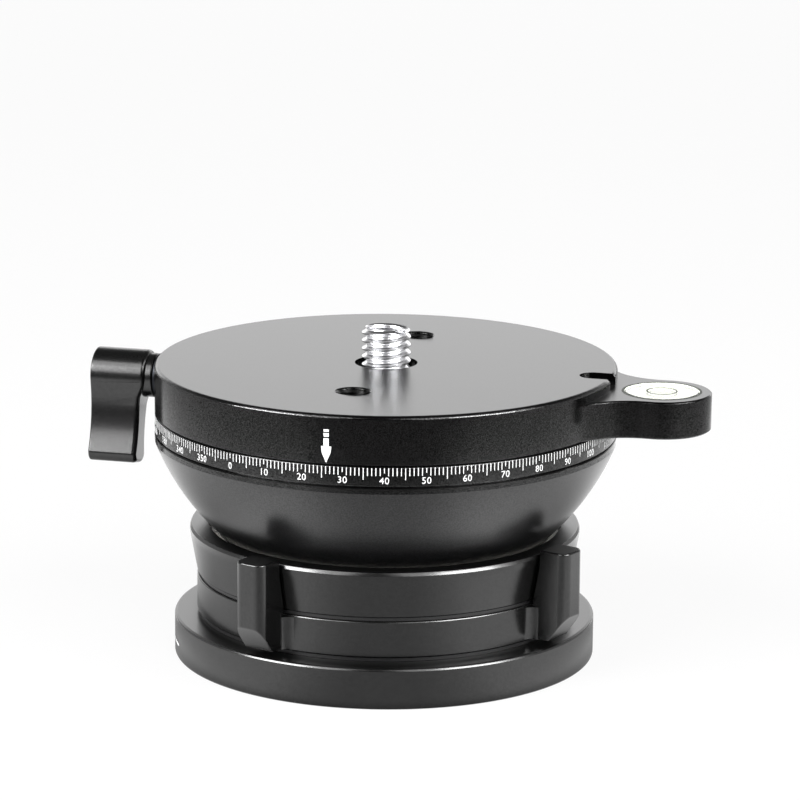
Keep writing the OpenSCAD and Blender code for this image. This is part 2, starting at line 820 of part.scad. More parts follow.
// The bubble is the top of a ball, flat against the lens
module bubble_form(grow) {
  sink = (bubble_r * bubble_r - bubble_h * bubble_h) / (2 * bubble_h);
  translate([vial_x, 0, 0]) intersection() {
    translate([0, 0, lens_z + sink]) sphere(r = sink + bubble_h + grow);
    bar(bubble_r + over, lens_z - bubble_h - over, lens_z - thread_clear + grow);
  }
}

module vial_liquid() {
  r = vial_r - vial_wall - thread_clear;
  color("#dfe9a8") difference() {
    translate([vial_x, 0, 0]) bar(r, vial_z + vial_floor, lens_z - thread_clear);
    bubble_form(thread_clear);
  }
}

module vial_bubble() {
  color("#f7fbe8") bubble_form(0);
}

module vial_lens() {
  color("#f2f6ea") translate([vial_x, 0, 0]) rotate_extrude() polygon([
    [0, lens_z], [lens_r, lens_z], [lens_r, lug_top - lens_edge], [lens_r - lens_edge, lug_top], [0, lug_top]
  ]);
}

// Pan lock

module brake_shoe() {
  color("#c9a25a") difference() {
    lock_bar(brake_r, hub_r - over, brake_end);
    bar(brake_tip, platform_z, platform_top);
  }
}

module lock_stud() {
  color("#b4b6b8") lock_bar(lock_r, brake_end, stud_seat);
}

module knob_washer() {
  color("#17181a") difference() {
    lock_bar(knob_neck_r, washer_in, neck_in);
    lock_bar(lock_r + run_clear, washer_in - over, neck_in + over);
  }
}

// Outline of the paddle, hanging along -Y from the boss: waisted, with a thicker rounded tip
module paddle_plan() {
  half_tip = knob_tip / 2;
  half_waist = knob_waist / 2;
  r = knob_corner;
  corner_x = half_tip - r;
  corner_y = knob_len - r;
  waist_y = knob_boss_r + (knob_len - knob_boss_r) * waist_share;
  // Circle that is tangent to the waist and meets the tip above its corner
  drop = corner_y - waist_y;
  rise = half_tip - half_waist;
  scoop_r = (drop * drop + rise * rise) / (2 * rise);
  circle(r = knob_boss_r);
  for (s = [-1, 1]) translate([s * corner_x, -corner_y]) circle(r = r);
  translate([-corner_x, -knob_len]) square([2 * corner_x, 2 * r]);
  difference() {
    polygon([
      [-knob_boss_r, 0], [-half_tip, -waist_y], [-half_tip, -corner_y],
      [half_tip, -corner_y], [half_tip, -waist_y], [knob_boss_r, 0]
    ]);
    for (s = [-1, 1]) translate([s * (half_waist + scoop_r), -waist_y]) circle(r = scoop_r);
  }
}

module lock_knob() {
  color("#1f2023") difference() {
    union() {
      translate([-paddle_out, 0, lock_z]) rotate([-knob_turn, 0, 0]) rotate([90, 0, 90])
        linear_extrude(knob_w) paddle_plan();
      lock_bar(knob_neck_r, neck_in, paddle_in + lap);
    }
    lock_bar(lock_r + thread_clear, neck_in - over, stud_seat);
  }
}

base_plate();
tripod_bush();
base_screws();
guide_pillars();
lower_slip_ring();
upper_slip_ring();
seat_collar();
seat_liner();
lock_ring();
clamp_plate();
draw_bolt();
pressure_cap();
cap_washer();
disc_spring();
clamp_nut();
half_ball();
scale_base();
pan_hub();
hub_screws();
platform();
hub_retainer();
retainer_screws();
lower_pan_washer();
upper_pan_washer();
camera_screw();
vial_cup();
vial_liquid();
vial_bubble();
vial_lens();
brake_shoe();
lock_stud();
knob_washer();
lock_knob();
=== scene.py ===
"""Leveling base: finishes, rounded edges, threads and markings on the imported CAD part.

Points and sizes are written in millimetres and turned into metres where a piece is made. The
outline of a turned piece is a list of radii and heights.
"""
from math import cos, pi, radians, sin
import bpy
from mathutils import Matrix, Quaternion, Vector


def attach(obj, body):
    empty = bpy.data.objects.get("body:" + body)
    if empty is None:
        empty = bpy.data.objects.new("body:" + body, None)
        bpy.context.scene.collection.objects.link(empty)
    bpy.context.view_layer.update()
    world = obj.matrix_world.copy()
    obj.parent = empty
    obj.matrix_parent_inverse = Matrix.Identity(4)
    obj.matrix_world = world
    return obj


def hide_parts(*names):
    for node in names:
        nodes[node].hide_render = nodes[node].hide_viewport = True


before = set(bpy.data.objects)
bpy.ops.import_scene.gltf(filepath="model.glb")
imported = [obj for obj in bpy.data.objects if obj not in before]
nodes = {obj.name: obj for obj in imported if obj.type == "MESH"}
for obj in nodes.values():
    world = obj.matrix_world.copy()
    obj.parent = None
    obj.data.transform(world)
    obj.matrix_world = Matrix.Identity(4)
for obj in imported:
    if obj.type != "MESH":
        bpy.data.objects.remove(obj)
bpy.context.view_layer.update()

mm = 0.001
# Points closer than this are merged
WELD = 0.001 * mm
X, Y, Z = (1, 0, 0), (0, 1, 0), (0, 0, 1)
CENTRE = (0, 0, 0)

# Heights, radii and places of the CAD part that the pieces below are set against
FOOT_R, FOOT_TOP = 41.2, 8
BUSH_R = 7.55
PILLAR_CIRCLE_R = 26.88
RING_IN, RING_R, RING_LOW, RING_TOP = 31, 36.8, 8.8, 15.9
COLLAR_IN, COLLAR_R, COLLAR_LOW, COLLAR_TOP = 22.98, 38.2, 16.7, 25.9
LINER_R, LINER_LOW, LINER_TOP = 33.96, 21.0, 24.6
MOUTH_R = 34.2
BALL_Z = 60.542
DIAL_R = 45.0
PLATFORM_R, PLATFORM_TOP = 45.0, 57.7
LUG_TOP = 55.5
VIAL_X = 54.5
LOCK_Z = 52.1

# Steps round a large turned piece, and round a small one
LARGE_ROUND, SMALL_ROUND = 160, 64
# Degrees of one step of a drawn arc
ARC_STEP = 6


# Modelling by hand, one step at a time: draw, cut and join leave a piece open for editing

def leave():
    """Goes back to whole objects when a mesh is open for editing."""
    if bpy.context.mode != "OBJECT":
        bpy.ops.object.mode_set(mode="OBJECT")


def reopen():
    """Opens the active piece for editing again."""
    bpy.ops.object.mode_set(mode="EDIT")


def start(name):
    """Names the object that was just added and opens it for editing by its points."""
    piece = bpy.context.object
    piece.name = piece.data.name = name
    reopen()
    bpy.ops.mesh.select_mode(type="VERT")
    return piece


def weld(threshold=WELD):
    """Merges the points of the open mesh that lie on each other."""
    bpy.ops.mesh.select_all(action="SELECT")
    bpy.ops.mesh.remove_doubles(threshold=threshold)


def face_out():
    """Turns every face of the open mesh outwards."""
    bpy.ops.mesh.select_all(action="SELECT")
    bpy.ops.mesh.normals_make_consistent(inside=False)


def draw(name, across, up, origin, first, moves):
    """A new mesh drawn as one line on the plane of two directions, left open for editing.

    A move of two numbers goes straight to that point, and one of three turns about that centre by
    degrees.
    """
    leave()
    across, up, origin = Vector(across), Vector(up), Vector(origin)
    axis = across.cross(up)

    def place(u, v):
        return (origin + across * u + up * v) * mm

    bpy.ops.object.select_all(action="DESELECT")
    bpy.ops.mesh.primitive_plane_add(size=mm)
    piece = start(name)
    bpy.ops.mesh.merge(type="CENTER")
    here = place(*first)
    bpy.ops.transform.translate(value=here)
    for move in moves:
        if len(move) == 2:
            there = place(*move)
            bpy.ops.mesh.extrude_region_move(TRANSFORM_OT_translate={"value": there - here})
        else:
            centre, degrees = place(*move[:2]), move[2]
            there = centre + Matrix.Rotation(radians(degrees), 3, axis) @ (here - centre)
            bpy.ops.mesh.spin(steps=max(4, round(abs(degrees) / ARC_STEP)), angle=-radians(degrees),
                              center=centre, axis=axis)
        here = there
    weld()
    return piece


def turn(steps, centre=CENTRE, axis=Z):
    """Turns the drawn outline once round, as on a lathe."""
    bpy.ops.mesh.spin(steps=steps, angle=2 * pi, center=Vector(centre) * mm, axis=axis)
    weld()
    face_out()


def thicken(way):
    """Fills the drawn outline and pulls it out into a slab."""
    bpy.ops.mesh.edge_face_add()
    bpy.ops.mesh.extrude_region_move(TRANSFORM_OT_translate={"value": Vector(way) * mm})
    face_out()


def repeat(copies, degrees):
    """Copies all of the open mesh round the upright axis, each copy that many degrees on."""
    bpy.ops.mesh.select_all(action="SELECT")
    bpy.ops.mesh.spin(steps=copies - 1, dupli=True, angle=-radians(degrees * (copies - 1)),
                      center=CENTRE, axis=Z)


def bevel(width, segments, clamp=False):
    """Rounds the selected edges."""
    bpy.ops.mesh.bevel(offset=width * mm, segments=segments, profile=0.5, clamp_overlap=clamp)


def round_edges(width, segments, sharp, clamp):
    """Rounds the edges that are sharper than the angle."""
    bpy.ops.mesh.select_mode(type="EDGE")
    bpy.ops.mesh.select_all(action="DESELECT")
    bpy.ops.mesh.edges_select_sharp(sharpness=radians(sharp))
    bevel(width, segments, clamp)
    bpy.ops.mesh.select_mode(type="VERT")


def pick_edges(piece, wanted):
    """Selects the edges of an open mesh whose two ends, in millimetres, pass a test."""
    bpy.ops.mesh.select_mode(type="EDGE")
    bpy.ops.mesh.select_all(action="DESELECT")
    leave()
    for edge in piece.data.edges:
        edge.select = wanted(*(piece.data.vertices[i].co / mm for i in edge.vertices))
    reopen()


def close(piece, smooth=40):
    """Ends the editing of a piece and shades its curved faces smooth and its flat faces flat."""
    leave()
    bpy.ops.object.shade_smooth_by_angle(angle=radians(smooth))
    even = piece.modifiers.new("even", "WEIGHTED_NORMAL")
    even.keep_sharp = True
    bpy.ops.object.modifier_apply(modifier="even")
    return piece


def join(name, pieces):
    """Makes one piece of several and opens it for editing."""
    leave()
    bpy.ops.object.select_all(action="DESELECT")
    for piece in pieces:
        piece.select_set(True)
    bpy.context.view_layer.objects.active = pieces[0]
    bpy.ops.object.join()
    pieces[0].name = pieces[0].data.name = name
    reopen()
    return pieces[0]


def cut(piece, tool, operation):
    """Cuts a piece with another one, which is used up, and opens it for editing."""
    leave()
    change = piece.modifiers.new("cut", "BOOLEAN")
    change.operation = operation
    change.solver = "EXACT"
    change.object = tool
    bpy.ops.object.select_all(action="DESELECT")
    bpy.context.view_layer.objects.active = piece
    piece.select_set(True)
    bpy.ops.object.modifier_apply(modifier="cut")
    bpy.data.objects.remove(tool)
    reopen()


def finish(piece, body, slot, material, *replaced):
    """Puts a piece on its body and gives it its finish."""
    leave()
    piece.data.materials.clear()
    piece.data.materials.append(material)
    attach(piece, body)
    if replaced:
        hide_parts(*replaced)


def facing(degrees):
    """The way along the rim and the way out of it, at an angle round the upright axis."""
    a = radians(degrees)
    return Vector((-sin(a), cos(a), 0)), Vector((cos(a), sin(a), 0))


def rounded_copy(name, node, width, softer=None):
    """A machined CAD node with its edges broken: a merged copy of its mesh, bevelled by hand.

    The edges that pass a test of their two ends are rounded more than the others.
    """
    bpy.ops.object.select_all(action="DESELECT")
    nodes[node].select_set(True)
    bpy.context.view_layer.objects.active = nodes[node]
    bpy.ops.object.duplicate()
    piece = start(name)
    weld(2 * WELD)
    bpy.ops.mesh.customdata_custom_splitnormals_clear()
    bpy.ops.mesh.dissolve_limited(angle_limit=radians(0.5))
    if softer:
        pick_edges(piece, softer)
        bevel(width=0.25, segments=4, clamp=True)
    round_edges(width, segments=2, sharp=40, clamp=True)
    return close(piece)


# Materials

def linear(code):
    """An sRGB hex colour as the linear colour that a shader takes."""
    parts = [int(code[i:i + 2], 16) / 255 for i in (1, 3, 5)]
    return [c / 12.92 if c <= 0.04045 else ((c + 0.055) / 1.055) ** 2.4 for c in parts] + [1]


def add(tree, kind, settings=None):
    """Adds a node with its settings, by name or socket number; another node's socket is linked."""
    node = tree.nodes.new("ShaderNode" + kind)
    for key, value in (settings or {}).items():
        if isinstance(value, bpy.types.NodeSocket):
            tree.links.new(value, node.inputs[key])
        elif isinstance(key, int) or key in node.inputs:
            node.inputs[key].default_value = value
        else:
            setattr(node, key, value)
    return node


def ramp(tree, value, start_at, end_at, low, high):
    """Runs from low to high while a value runs from its start to its end, and holds beyond them."""
    return add(tree, "MapRange", {"From Min": start_at, "From Max": end_at, "To Min": low,
                                  "To Max": high, "Value": value}).outputs[0]


def calc(tree, operation, a, b):
    """One step of arithmetic."""
    return add(tree, "Math", {"operation": operation, 0: a, 1: b}).outputs[0]


def blend(tree, share, a, b):
    """A number between two others."""
    return add(tree, "Mix", {0: share, 2: a, 3: b}).outputs[0]


def tones(tree, share, dark, light):
    """A colour between two others."""
    return add(tree, "Mix", {"data_type": "RGBA", 0: share, 6: linear(dark),
                             7: linear(light)}).outputs[2]


def open_material(name):
    """A new material's node tree, emptied, with its Object coordinates."""
    material = bpy.data.materials.new(name)
    material.use_nodes = True
    tree = material.node_tree
    tree.nodes.clear()
    return material, tree, add(tree, "TexCoord").outputs["Object"]


def anodised(name, dark, light, rough, grain, depth, glint, ior):
    """Dyed oxide on aluminium: a dielectric skin with a fine grain that breaks its highlights.

    The grain is drawn coarser than it is, so that it shows, and the flat tops, which are lapped,
    have little of it and blur what they mirror.
    """
    material, tree, place = open_material(name)
    pits = add(tree, "TexNoise", {"Scale": 1 / (grain * mm), "Detail": 2, "Roughness": 0.6,
                                  "Vector": place}).outputs["Fac"]
    sheen = ramp(tree, pits, 0.3, 0.7, rough - 0.02, rough + 0.02)
    facets = ramp(tree, pits, 0.36, 0.64, 0.5 - glint, 0.5 + glint)
    normal = add(tree, "NewGeometry").outputs["Normal"]
    unlapped = ramp(tree, add(tree, "SeparateXYZ", {0: normal}).outputs["Z"], 0.6, 0.9, 1.0, 0.1)
    dents = add(tree, "Bump", {"Distance": depth * mm, "Height": pits, "Strength": unlapped})
    skin = add(tree, "BsdfPrincipled", {
        "IOR": ior, "Base Color": tones(tree, pits, dark, light), "Normal": dents.outputs[0],
        "Roughness": blend(tree, unlapped, 0.3, sheen),
        "Specular IOR Level": blend(tree, unlapped, 0.5, facets)})
    add(tree, "OutputMaterial", {"Surface": skin.outputs[0]})
    return material


# Turned, etched and black dyed: satin, with clean streaks on its edges
satin_black = anodised("satin_black_anodised", "#030303", "#060606",
                       rough=0.22, grain=0.4, depth=0.006, glint=0.05, ior=1.52)
# Bead blasted before dyeing: deep black, with sparks of light on single grains
blasted_black = anodised("bead_blasted_black_anodised", "#020202", "#050505",
                         rough=0.14, grain=0.2, depth=0.005, glint=0.45, ior=1.48)
# Hard anodised and left matte: charcoal, lighter towards its outline
matte_grey = anodised("hard_anodised_charcoal", "#0b0b0c", "#101011",
                      rough=0.3, grain=0.3, depth=0.012, glint=0.1, ior=1.55)

# The distance between two rings of the wave texture at scale 1
WAVE_LENGTH = 0.314


def metal(name, dark, light, rough, spacing):
    """Turned bare metal: fine rings left by the tool vary its gloss."""
    material, tree, place = open_material(name)
    rings = add(tree, "TexWave", {
        "wave_type": "RINGS", "rings_direction": "Z", "Scale": WAVE_LENGTH / (spacing * mm),
        "Distortion": 0.6, "Detail": 2, "Detail Scale": 1.5, "Vector": place}).outputs["Fac"]
    lines = add(tree, "Bump", {"Strength": 0.15, "Distance": 0.01 * mm, "Height": rings})
    skin = add(tree, "BsdfPrincipled", {
        "Metallic": 1.0, "Base Color": tones(tree, rings, dark, light),
        "Roughness": ramp(tree, rings, 0, 1, rough - 0.04, rough + 0.06),
        "Normal": lines.outputs[0]})
    add(tree, "OutputMaterial", {"Surface": skin.outputs[0]})
    return material


# Turned aluminium, left bare inside the clamp: pale and slightly dull
bare_aluminium = metal("turned_aluminium", "#c4c6c8", "#d2d4d6", rough=0.34, spacing=0.4)
# Zinc plated steel: a little bluish and soft
zinc_steel = metal("zinc_plated_steel", "#b4b7ba", "#c6c9cc", rough=0.36, spacing=0.5)
# Stainless steel, thread rolled: bright, with hard contrast
bright_steel = metal("bright_stainless_steel", "#d6d6d8", "#e4e4e6", rough=0.26, spacing=0.6)
# Black oxide on steel: dark and oily
black_steel = metal("black_oxide_steel", "#1e1f22", "#28292c", rough=0.38, spacing=0.5)
# Brass, turned: warm yellow
turned_brass = metal("turned_brass", "#c9a04e", "#dcb764", rough=0.3, spacing=0.4)


def plastic(name, dark, light, rough, grain):
    """Moulded plastic or ink: even colour, with a slight texture."""
    material, tree, place = open_material(name)
    spots = add(tree, "TexNoise", {"Scale": 1 / (grain * mm), "Detail": 2,
                                   "Vector": place}).outputs["Fac"]
    orange_peel = add(tree, "Bump", {"Strength": 0.08, "Distance": 0.02 * mm, "Height": spots})
    skin = add(tree, "BsdfPrincipled", {
        "Roughness": rough, "IOR": 1.48, "Base Color": tones(tree, spots, dark, light),
        "Normal": orange_peel.outputs[0]})
    add(tree, "OutputMaterial", {"Surface": skin.outputs[0]})
    return material


# Acetal, moulded: the slip rings and washers, black and slightly waxy
black_acetal = plastic("moulded_black_acetal", "#101011", "#161617", rough=0.42, grain=0.8)
# Acetal, moulded white: the liner that the ball slides on
white_acetal = plastic("moulded_white_acetal", "#dedcd4", "#e6e4dc", rough=0.4, grain=0.8)
# Marking ink, filled into the engraving: white and flat
white_ink = plastic("white_marking_ink", "#eceded", "#f6f6f6", rough=0.6, grain=0.2)
# Printed ring of the spirit level, and the painted shadow in the gap round its cup: near black
# green
dark_ink_and_painted_shade = plastic("dark_marking_ink_and_painted_shade", "#1c2416", "#262e1e", rough=0.5, grain=0.2)
# ABS, moulded and glossy: the cup of the spirit level
white_abs = plastic("gloss_white_abs", "#eef0ea", "#f6f7f4", rough=0.25, grain=1.2)


def clear(name, tint, ior, rough):
    """A clear body: it bends light with a trace of unevenness, and lets the lamps shine through."""
    material, tree, place = open_material(name)
    ripple = add(tree, "TexNoise", {"Scale": 1 / (3 * mm), "Detail": 1, "Vector": place})
    skin = add(tree, "BsdfPrincipled", {
        "Base Color": linear(tint), "IOR": ior, "Transmission Weight": 1.0,
        "Roughness": ramp(tree, ripple.outputs["Fac"], 0, 1, rough, rough + 0.03)})
    through = add(tree, "BsdfTransparent", {"Color": linear(tint)})
    body = add(tree, "MixShader", {0: add(tree, "LightPath").outputs["Is Shadow Ray"],
                                   1: skin.outputs[0], 2: through.outputs[0]})
    add(tree, "OutputMaterial", {"Surface": body.outputs[0]})
    return material


# Acrylic window of the spirit level: polished and clear
clear_acrylic = clear("polished_acrylic", "#fbfdf6", ior=1.49, rough=0.02)
# Spirit in the vial: thin yellow green
tinted_spirit = clear("yellow_green_spirit", "#f9fbe2", ior=1.36, rough=0.0)
# Air in the bubble: only its edge shows
air_bubble = clear("air_bubble", "#fdfff8", ior=1.02, rough=0.0)

FINISHES = {
    satin_black: ["base_plate", "lock_ring", "seat_collar", "lock_knob"],
    blasted_black: ["scale_base", "platform"],
    matte_grey: ["half_ball"],
    bare_aluminium: ["guide_pillars", "clamp_plate", "pressure_cap", "pan_hub", "hub_retainer"],
    zinc_steel: ["tripod_bush", "draw_bolt", "cap_washer", "disc_spring", "clamp_nut", "lock_stud"],
    bright_steel: ["camera_screw"],
    black_steel: ["base_screws", "hub_screws", "retainer_screws", "knob_washer"],
    black_acetal: ["lower_slip_ring", "upper_slip_ring", "lower_pan_washer", "upper_pan_washer"],
    white_acetal: ["seat_liner"],
    turned_brass: ["brake_shoe"],
    white_abs: ["vial_cup"],
    tinted_spirit: ["vial_liquid"],
    air_bubble: ["vial_bubble"],
    clear_acrylic: ["vial_lens"],
}
for material, members in FINISHES.items():
    for member in members:
        nodes[member].data.materials.clear()
        nodes[member].data.materials.append(material)


# Machined pieces with broken edges

def outer_edge(a, b):
    """Whether an edge lies on the upper rim of the platform."""
    return (min(a.z, b.z) > PLATFORM_TOP - 0.6
            and min(a.xy.length, b.xy.length) > PLATFORM_R - 0.6)


finish(rounded_copy("dial", "scale_base", 0.1), "ball", "blasted_anodised", blasted_black,
       "scale_base")
finish(rounded_copy("ball", "half_ball", 0.08), "ball", "grey_anodised", matte_grey, "half_ball")
finish(rounded_copy("turntable", "platform", 0.14, softer=outer_edge), "platform",
       "blasted_anodised", blasted_black, "platform")


# Turned pieces: the outline of each is drawn and spun, with a steep bright cut on its upper edge

def drilled(piece, radius, low, high):
    """Drills four holes on the circle of the pillars."""
    drill = draw("drill", X, Z, (PILLAR_CIRCLE_R, 0, 0), (0, low),
                 [(radius, low), (radius, high), (0, high)])
    turn(24, (PILLAR_CIRCLE_R, 0, 0))
    bpy.ops.transform.rotate(value=radians(45), orient_axis="Z", center_override=CENTRE)
    repeat(4, 90)
    cut(piece, drill, "DIFFERENCE")


# Foot, with holes for the heads and the shanks of four screws
foot = draw("foot", X, Z, CENTRE, (BUSH_R, 0),
            [(40.7, 0), (40.7, 0.5, 90), (FOOT_R, 7.45), (41.18, 7.52), (41.05, 7.77), (41, 7.83),
             (40.6, FOOT_TOP), (BUSH_R, FOOT_TOP), (BUSH_R, 0)])
turn(LARGE_ROUND)
drilled(foot, radius=3.1, low=-1, high=2.4)
drilled(foot, radius=1.8, low=-1, high=9)
finish(close(foot, 20), "base", "black_anodised", satin_black, "base_plate")

# Seat collar: a cone under an upright band, the dish of the ball and the pocket of the liner
collar = draw("collar", X, Z, CENTRE, (COLLAR_IN, COLLAR_LOW),
              [(36.6, COLLAR_LOW), (36.8, 16.9), (38.1, 23.8), (COLLAR_R, 24.4), (COLLAR_R, 25.2),
               (38.17, 25.28), (37.93, 25.75), (37.86, 25.82), (37.5, COLLAR_TOP),
               (34.6, COLLAR_TOP), (MOUTH_R, 25.5), (MOUTH_R, LINER_TOP), (LINER_R, LINER_TOP),
               (LINER_R, LINER_LOW), (28.94, LINER_LOW), (0, BALL_Z, -8.23),
               (COLLAR_IN, COLLAR_LOW)])
turn(LARGE_ROUND)
drilled(collar, radius=1.55, low=16, high=20)
finish(close(collar, 20), "base", "black_anodised", satin_black, "seat_collar")

# Lock ring: one finger tab with its slanted sole, clear of the collar, and the soft corners at its
# foot, copied four times round the ring
TAB_LOW, TAB_TALL = 9.3, 17.6
TAB_IN, TAB_HALF = 35.9, 3.2
along, out = facing(-111.4)
tab = draw("tab", out, along, (0, 0, TAB_LOW), (TAB_IN, -TAB_HALF),
           [(42.6, -TAB_HALF), (42.6, -1.3, 90), (44.5, 1.3), (42.6, 1.3, 90), (TAB_IN, TAB_HALF),
            (TAB_IN, -TAB_HALF)])
thicken((0, 0, TAB_TALL))
sole_point = out * 40.8 + Vector((0, 0, TAB_LOW))
sole_normal = out * 0.804 - Vector((0, 0, 0.594))
bpy.ops.mesh.bisect(plane_co=sole_point * mm, plane_no=sole_normal, use_fill=True, clear_outer=True)
GAP_IN, GAP_TOP = 30, 30
gap = draw("gap", out, Z, along * -5, (GAP_IN, RING_TOP),
           [(37.2, RING_TOP), (37.2, COLLAR_LOW), (38.6, 23.7), (38.6, GAP_TOP), (GAP_IN, GAP_TOP),
            (GAP_IN, RING_TOP)])
thicken(along * 10)
cut(tab, gap, "DIFFERENCE")


def at_tab_top(a, b):
    """Whether an edge lies round the top of the tab."""
    return min(a.z, b.z) > TAB_LOW + TAB_TALL - 0.05


def at_sole(a, b):
    """Whether an edge lies round the slanted sole."""
    return all(abs((end - sole_point).dot(sole_normal)) < 0.01 for end in (a, b))


pick_edges(tab, at_tab_top)
bevel(width=0.35, segments=4)
pick_edges(tab, at_sole)
bevel(width=0.2, segments=3)
CORNER_IN, CORNER_R, CORNER_Y, CORNER_TURN = 35.5, 38.624, 5.4, -82.04
corners = draw("corners", out, along, (0, 0, 9.2), (CORNER_IN, -5),
               [(36.445, -5.095), (CORNER_R, -CORNER_Y, CORNER_TURN), (CORNER_R, TAB_HALF),
                (CORNER_R, CORNER_Y, CORNER_TURN), (CORNER_IN, 5), (CORNER_IN, -5)])
thicken((0, 0, 6.3))
cut(tab, corners, "UNION")
repeat(4, 90)
ring = draw("tabbed_ring", X, Z, CENTRE, (RING_IN, RING_LOW),
            [(36.5, RING_LOW), (RING_R, 9.1), (RING_R, 15.7), (36.74, 15.82), (36.6, RING_TOP),
             (RING_IN, RING_TOP), (RING_IN, RING_LOW)])
turn(LARGE_ROUND)
cut(ring, tab, "UNION")
finish(close(ring, 24), "ring", "black_anodised", satin_black, "lock_ring")

# Rim of the half ball: an upright band, dyed black like the disc above it
RIM_IN, RIM_R, RIM_LOW, RIM_TOP = 44.6, 45.02, 42.78, 44
rim = draw("ball_rim", X, Z, CENTRE, (RIM_IN, RIM_LOW),
           [(44.9, RIM_LOW), (RIM_R, 42.9), (RIM_R, 43.86), (44.88, RIM_TOP), (RIM_IN, RIM_TOP),
            (RIM_IN, RIM_LOW)])
turn(LARGE_ROUND)
finish(close(rim), "ball", "black_anodised", blasted_black)


# Threads

def wind(piece, pitch, turns):
    """Winds the drawn tooth upwards into a right-hand thread."""
    leave()
    helix = piece.modifiers.new("helix", "SCREW")
    helix.steps = helix.render_steps = SMALL_ROUND
    helix.iterations = turns
    helix.screw_offset = pitch * mm
    helix.use_merge_vertices = True
    helix.merge_threshold = WELD
    bpy.ops.object.modifier_apply(modifier="helix")
    reopen()
    weld()


def trim(height, **side):
    """Cuts the open mesh off level at a height, and caps it."""
    bpy.ops.mesh.select_all(action="SELECT")
    bpy.ops.mesh.bisect(plane_co=(0, 0, height * mm), plane_no=Z, use_fill=True, **side)


# Camera screw: 3/8 inch with 16 turns to the inch, its end chamfered round a hex socket
PITCH = 25.4 / 16
ROOT_R, CREST_R = 3.79, 4.7625
SCREW_LOW, SCREW_TOP = 55.7, 64.8
BLANK_LOW, BLANK_TOP = SCREW_LOW - 1, SCREW_TOP + 0.02
SOCKET_LOW, SOCKET_TOP, SOCKET_R = SCREW_TOP - 4, SCREW_TOP + 0.2, 2.77
tooth = [(ROOT_R + 0.05, 0.09), (CREST_R - 0.08, 0.39), (CREST_R, 0.46), (CREST_R, 0.54),
         (CREST_R - 0.08, 0.61), (ROOT_R + 0.05, 0.91), (ROOT_R, 1)]
first_turn = SCREW_LOW - PITCH
screw = draw("camera_screw_thread", X, Z, CENTRE, (ROOT_R, first_turn),
             [(r, first_turn + PITCH * share) for r, share in tooth])
wind(screw, PITCH, 8)
trim(SCREW_LOW, clear_inner=True)
trim(SCREW_TOP, clear_outer=True)
face_out()
blank = draw("blank", X, Z, CENTRE, (0, BLANK_LOW),
             [(5.2, BLANK_LOW), (5.2, SCREW_TOP - 1.15), (4.15, SCREW_TOP - 0.1), (3.98, BLANK_TOP),
              (0, BLANK_TOP)])
turn(SMALL_ROUND)
cut(screw, blank, "INTERSECT")
socket = draw("socket", X, Z, CENTRE, (0, SOCKET_LOW),
              [(SOCKET_R, SOCKET_LOW), (SOCKET_R, SCREW_TOP - 0.3), (3.1, SOCKET_TOP),
               (0, SOCKET_TOP)])
turn(6)
cut(screw, socket, "DIFFERENCE")
stud = draw("stud", X, Z, CENTRE, (0, 48.6), [(3.6, 48.6), (4, 49), (4, SCREW_LOW), (0, SCREW_LOW)])
turn(48)
screw = join("camera_screw_thread", [screw, stud])
finish(close(screw, 35), "platform", "bright_steel", bright_steel, "camera_screw")


# Threads inside the holes: 1/4 inch in the platform, 3/8 inch in the bush under the foot

def hole_thread(name, wall, crest, pitch, turns, low, y=0):
    """The winding tooth of a tapped hole, its foot sunk into the wall."""
    tooth = [(crest, low + 0.42 * pitch), (crest, low + 0.54 * pitch),
             (wall + 0.05, low + 0.94 * pitch), (wall + 0.05, low + 0.02 * pitch)]
    piece = draw(name, X, Z, CENTRE, tooth[-1], tooth)
    wind(piece, pitch, turns)
    bpy.ops.mesh.fill_holes(sides=0)
    face_out()
    bpy.ops.transform.translate(value=(0, y * mm, 0))
    return close(piece, 30)


for name, y in (("front_hole_thread", -25.4), ("rear_hole_thread", 25.4)):
    finish(hole_thread(name, wall=3.2, crest=2.8, pitch=25.4 / 20, turns=4, low=51.9, y=y),
           "platform", "blasted_anodised", satin_black)
finish(hole_thread("tripod_thread", wall=4.8125, crest=4.05, pitch=PITCH, turns=5, low=0.5),
       "base", "steel", zinc_steel)


# Pan lock knob: one waisted paddle with soft ends, and its neck

LOCK_AXIS = (0, 0, LOCK_Z)
PADDLE_IN, PADDLE_OUT = -47.7, -58.9
lean = Matrix.Rotation(radians(-12.5), 3, "X")
level, upward = lean @ Vector(Y), lean @ Vector(Z)
paddle = draw("lock_paddle", level, upward, (PADDLE_IN, 0, LOCK_Z), (4.561, -2.049),
              [(0, 0, 228.38), (-23.37, -10.5, -38.51), (-1.5, -15.6, 90), (1.5, -17.49),
               (1.5, -15.6, 90), (23.37, -10.5, -38.51)])
weld(0.05 * mm)
thicken((PADDLE_OUT - PADDLE_IN, 0, 0))
